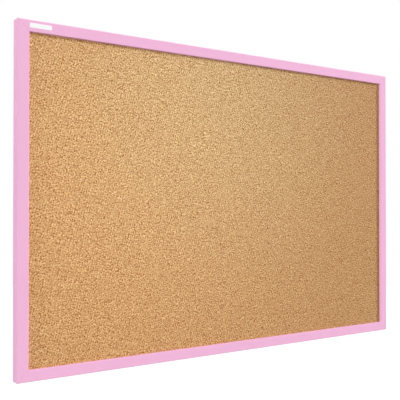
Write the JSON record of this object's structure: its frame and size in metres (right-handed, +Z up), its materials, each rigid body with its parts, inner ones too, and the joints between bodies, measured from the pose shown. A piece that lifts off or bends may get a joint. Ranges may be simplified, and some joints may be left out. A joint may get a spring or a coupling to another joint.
{
  "type": "cork board",
  "caption": "Wall-hung cork pin board: a cork-faced softboard panel in a slim, painted, mitred wooden frame, hung by sawtooth hangers on its back.",
  "frame": {"origin": "the middle of the frame's back plane, halfway along the board and halfway up it, where the board meets its wall", "axes": "+X to the right along the long rails as seen from the front, +Z up along the short rails, +Y from the front into the wall, so the cork faces -Y"},
  "size_m": [0.6, 0.0163, 0.4],
  "materials": {
    "frame_paint": "satin",
    "cork": "matte",
    "softboard": "matte",
    "hardboard": "satin",
    "point_steel": "satin",
    "zinc_steel": "satin",
    "v_nail_steel": "satin"
  },
  "bodies": {
    "root": {"top_rail": "frame_paint", "right_rail": "frame_paint", "bottom_rail": "frame_paint", "left_rail": "frame_paint", "cork_sheet": "cork", "softboard_core": "softboard", "backing_sheet": "hardboard", "retaining_point_top_1": "point_steel", "retaining_point_top_2": "point_steel", "retaining_point_top_3": "point_steel", "retaining_point_top_4": "point_steel", "retaining_point_right_1": "point_steel", "retaining_point_right_2": "point_steel", "retaining_point_right_3": "point_steel", "retaining_point_bottom_1": "point_steel", "retaining_point_bottom_2": "point_steel", "retaining_point_bottom_3": "point_steel", "retaining_point_bottom_4": "point_steel", "retaining_point_left_1": "point_steel", "retaining_point_left_2": "point_steel", "retaining_point_left_3": "point_steel", "sawtooth_hanger_left": "zinc_steel", "sawtooth_hanger_right": "zinc_steel", "hanger_nail_left_1": "zinc_steel", "hanger_nail_left_2": "zinc_steel", "hanger_nail_right_1": "zinc_steel", "hanger_nail_right_2": "zinc_steel", "v_nail_top_left_outer": "v_nail_steel", "v_nail_top_left_inner": "v_nail_steel", "v_nail_top_right_outer": "v_nail_steel", "v_nail_top_right_inner": "v_nail_steel", "v_nail_bottom_right_outer": "v_nail_steel", "v_nail_bottom_right_inner": "v_nail_steel", "v_nail_bottom_left_outer": "v_nail_steel", "v_nail_bottom_left_inner": "v_nail_steel"}
  },
  "joints": []
}
